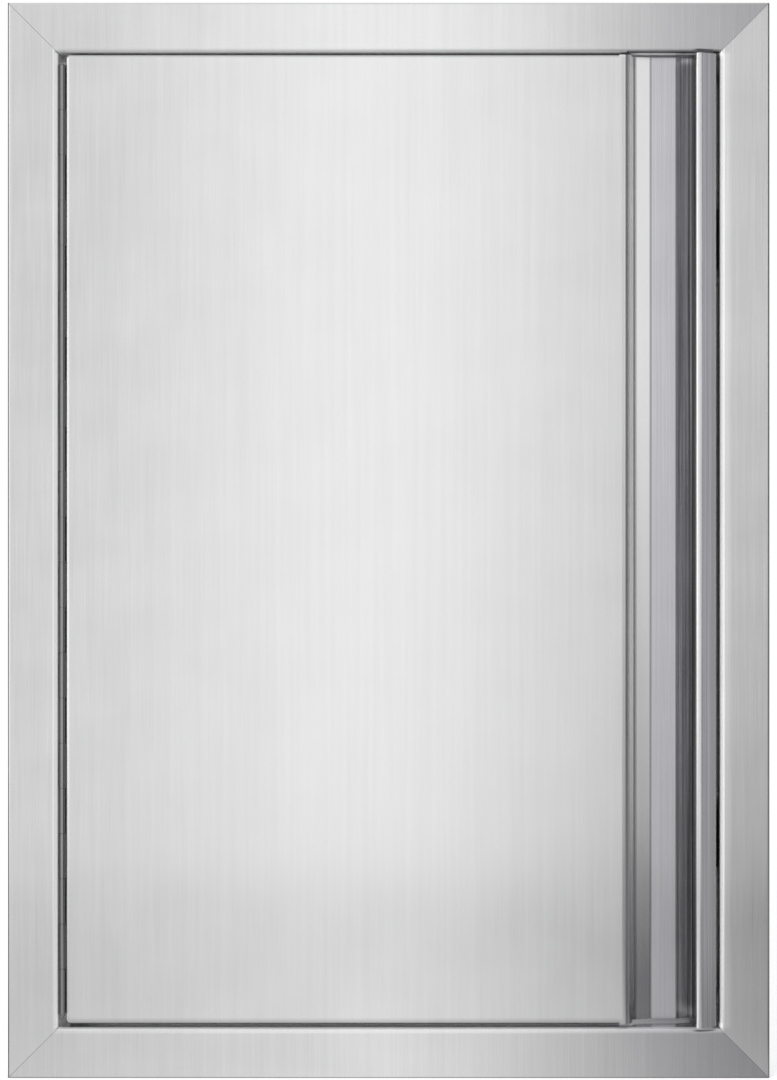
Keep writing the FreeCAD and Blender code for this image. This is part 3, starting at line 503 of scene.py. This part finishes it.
def dress_hinge():
    # Dark hinge steel: its own darker tone, made darker still as painted shade for the gap it sits in, with
    # painted shade beside the knuckle's highlight and painted highlights behind the knuckle
    rolled = brushed_steel("hinge_steel_with_painted_shade", (0.26, 0.26, 0.265), (0.32, 0.32, 0.325), rough=0.22,
                           spread=0.04, width=0.0003, length=0.02, marks=HINGE_PAINTED_SHADE, pale=HINGE_PAINTED_HIGHLIGHTS)
    give(rolled, "hinge_frame_leaf", "hinge_door_leaf", "hinge_pin")
    tumbled = grained_metal("tumbled_steel", (0.60, 0.60, 0.61), (0.70, 0.70, 0.71), rough=0.38,
                            grain=0.0006, depth=0.00002)
    give(tumbled, "hinge_frame_rivets", "hinge_door_rivets")


def dress_catches():
    plated = grained_metal("zinc_plate", (0.66, 0.68, 0.71), (0.76, 0.78, 0.81), rough=0.26,
                           grain=0.0009, depth=0.00001)
    give(plated, "upper_pole_plates", "lower_pole_plates", "upper_strike_plate", "lower_strike_plate",
         "catch_screws")
    plastic = moulded("black_plastic", (0.022, 0.022, 0.024), (0.034, 0.034, 0.036), rough=0.52,
                      grain=0.0005, depth=0.00004)
    give(plastic, "upper_catch_case", "lower_catch_case")
    ferrite = moulded("ferrite", (0.06, 0.06, 0.065), (0.11, 0.11, 0.115), rough=0.66,
                      grain=0.0008, depth=0.00005)
    give(ferrite, "upper_catch_magnet", "lower_catch_magnet")


def weld_section():
    """Places along the weld, each with the depth and inset of its back and its front.

    Depth is along Y, and the inset is from the frame's outer edge.
    """
    edge, edge_radius, edge_turns = EDGE_TURN
    opening, opening_radius, opening_turns = OPENING_TURN
    places = [(-WELD_THICKNESS, edge, edge_radius, edge_turns[0])]
    places += [(FRONT_Y + edge, edge, edge_radius, turn) for turn in edge_turns]
    places += [(FRONT_Y + OPENING_BEND, opening, opening_radius, turn) for turn in opening_turns]
    places += [(WELD_END_Y, opening, opening_radius, opening_turns[-1])]
    for depth, inset, radius, degrees in places:
        turn = math.radians(degrees)
        yield [(depth - reach * math.sin(turn), inset - reach * math.cos(turn))
               for reach in (radius - WELD_THICKNESS / 2, radius + WELD_THICKNESS / 2)]


def add_weld(mesh, right, up):
    """Weld in one mitre, as a tube of four-cornered rings."""
    half = WELD_WIDTH / 2 * math.sqrt(0.5)
    rings = []
    for back, front in weld_section():
        ring = []
        for (depth, inset), aside in ((back, -half), (front, -half), (front, half), (back, half)):
            corner = (right * (cad_high.x - inset + aside), depth, up * (cad_high.z - inset - aside))
            ring.append(mesh.verts.new(corner))
        rings.append(ring)
    for ring, after in zip(rings, rings[1:]):
        for index in range(len(ring)):
            other = (index + 1) % len(ring)
            mesh.faces.new((ring[index], ring[other], after[other], after[index]))
    mesh.faces.new(rings[0])
    mesh.faces.new(rings[-1][::-1])


def make_welds():
    """Ground welds that fill the frame's four mitres, a little below its surface."""
    mesh = bmesh.new()
    for right in (-1, 1):
        for up in (-1, 1):
            add_weld(mesh, right, up)
    bmesh.ops.recalc_face_normals(mesh, faces=mesh.faces)
    data = bpy.data.meshes.new("mitre_welds")
    mesh.to_mesh(data)
    mesh.free()
    ground = grained_metal("weld_steel", (0.26, 0.26, 0.265), (0.34, 0.34, 0.345), rough=0.45, grain=0.0006,
                           depth=0.00003)
    data.materials.append(ground)
    welds = bpy.data.objects.new("mitre_welds", data)
    bpy.context.scene.collection.objects.link(welds)
    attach(welds, "frame")


def make_key():
    """Soft lamp at the upper left, in front of the door, and aimed at its middle."""
    data = bpy.data.lights.new("key", "AREA")
    data.shape = "RECTANGLE"
    data.size = KEY_SIZE
    data.size_y = KEY_SIZE
    data.energy = KEY_POWER
    lamp = bpy.data.objects.new("key", data)
    bpy.context.scene.collection.objects.link(lamp)
    lamp.location = KEY_PLACE
    lamp.rotation_euler = (-Vector(KEY_PLACE)).to_track_quat("-Z", "Y").to_euler()
    lamp.visible_glossy = False


def new_glow(name):
    """Material that only gives light, its emission shader and its node tree."""
    material = bpy.data.materials.new(name)
    material.use_nodes = True
    tree = material.node_tree
    tree.nodes.clear()
    light = tree.nodes.new("ShaderNodeEmission")
    output = tree.nodes.new("ShaderNodeOutputMaterial")
    tree.links.new(light.outputs[0], output.inputs["Surface"])
    return material, light, tree


def world_place(tree, axis):
    """Place along one world axis."""
    split = tree.nodes.new("ShaderNodeSeparateXYZ")
    tree.links.new(tree.nodes.new("ShaderNodeNewGeometry").outputs["Position"], split.inputs[0])
    return split.outputs[axis]


def level_across(tree, levels):
    """Level by world X, as a share of BRIGHTEST."""
    across = tree.nodes.new("ShaderNodeMapRange")
    across.inputs["From Min"].default_value = LEVEL_START
    across.inputs["From Max"].default_value = LEVEL_START + LEVEL_STEP * (len(levels) - 1)
    tree.links.new(world_place(tree, "X"), across.inputs["Value"])
    ramp = tree.nodes.new("ShaderNodeValToRGB")
    stops = ramp.color_ramp.elements
    while len(stops) < len(levels):
        stops.new(0.5)
    for index, level in enumerate(levels):
        share = level / BRIGHTEST
        stops[index].position = index / (len(levels) - 1)
        stops[index].color = (share, share, share, 1)
    tree.links.new(across.outputs["Result"], ramp.inputs["Fac"])
    return ramp.outputs["Color"]


def stage_sheet(name, corners, material):
    """Flat piece of the studio, from its four corners."""
    mesh = bpy.data.meshes.new(name)
    mesh.from_pydata(corners, [], [(0, 1, 2, 3)])
    mesh.materials.append(material)
    sheet = bpy.data.objects.new(name, mesh)
    bpy.context.scene.collection.objects.link(sheet)
    return sheet


def card(name, corners, material):
    """Piece of the studio that shows only in the metal's sheen."""
    sheet = stage_sheet(name, corners, material)
    sheet.visible_camera = False
    sheet.visible_diffuse = False
    sheet.visible_transmission = False
    sheet.visible_shadow = False


def make_wall():
    """Soft light wall in front of the door, with levels of its own."""
    material, light, tree = new_glow("wall_light")
    light.inputs["Strength"].default_value = BRIGHTEST
    up = tree.nodes.new("ShaderNodeMapRange")
    up.inputs["From Min"].default_value = FLOOR_Z
    up.inputs["From Max"].default_value = LEVEL_HEIGHT
    tree.links.new(world_place(tree, "Z"), up.inputs["Value"])
    tree.links.new(level_across(tree, WALL_LOW), up.inputs["To Min"])
    tree.links.new(level_across(tree, WALL_HIGH), up.inputs["To Max"])
    tree.links.new(up.outputs["Result"], light.inputs["Color"])
    corners = [(-SIDE_X, WALL_Y, FLOOR_Z), (SIDE_X, WALL_Y, FLOOR_Z),
               (SIDE_X, WALL_Y, WALL_TOP), (-SIDE_X, WALL_Y, WALL_TOP)]
    card("wall_light", corners, material)


def make_cards():
    """Cards beside the door, each between two depths."""
    for name, x, front, back, colour, strength in CARDS:
        material, light, _ = new_glow(name)
        light.inputs["Color"].default_value = (*colour, 1)
        light.inputs["Strength"].default_value = strength
        corners = [(x, front, FLOOR_Z), (x, back, FLOOR_Z), (x, back, WALL_TOP), (x, front, WALL_TOP)]
        card(name, corners, material)


def make_floor():
    """White floor that keeps the door's shadow, and shows in the metal with levels of its own."""
    material, sheen, tree = new_glow("floor_paint")
    sheen.inputs["Strength"].default_value = BRIGHTEST
    tree.links.new(level_across(tree, FLOOR_LEVELS), sheen.inputs["Color"])
    paint = tree.nodes.new("ShaderNodeBsdfDiffuse")
    paint.inputs["Color"].default_value = (FLOOR_GREY, FLOOR_GREY, FLOOR_GREY, 1)
    lift = tree.nodes.new("ShaderNodeEmission")
    lift.inputs["Strength"].default_value = FLOOR_LIFT
    both = tree.nodes.new("ShaderNodeAddShader")
    tree.links.new(paint.outputs[0], both.inputs[0])
    tree.links.new(lift.outputs[0], both.inputs[1])
    mix = tree.nodes.new("ShaderNodeMixShader")
    tree.links.new(tree.nodes.new("ShaderNodeLightPath").outputs["Is Glossy Ray"], mix.inputs["Fac"])
    tree.links.new(both.outputs[0], mix.inputs[1])
    tree.links.new(sheen.outputs[0], mix.inputs[2])
    output = next(node for node in tree.nodes if node.type == "OUTPUT_MATERIAL")
    tree.links.new(mix.outputs[0], output.inputs["Surface"])
    corners = [(-FLOOR_REACH, -FLOOR_REACH, FLOOR_Z), (FLOOR_REACH, -FLOOR_REACH, FLOOR_Z),
               (FLOOR_REACH, FLOOR_REACH, FLOOR_Z), (-FLOOR_REACH, FLOOR_REACH, FLOOR_Z)]
    stage_sheet("floor", corners, material)


bpy.context.scene.view_settings.view_transform = "Standard"
make_camera()
make_world()
make_floor()
make_wall()
make_cards()
dress_frame()
dress_door()
dress_inner_sheets()
dress_hinge()
dress_catches()
make_welds()
make_key()
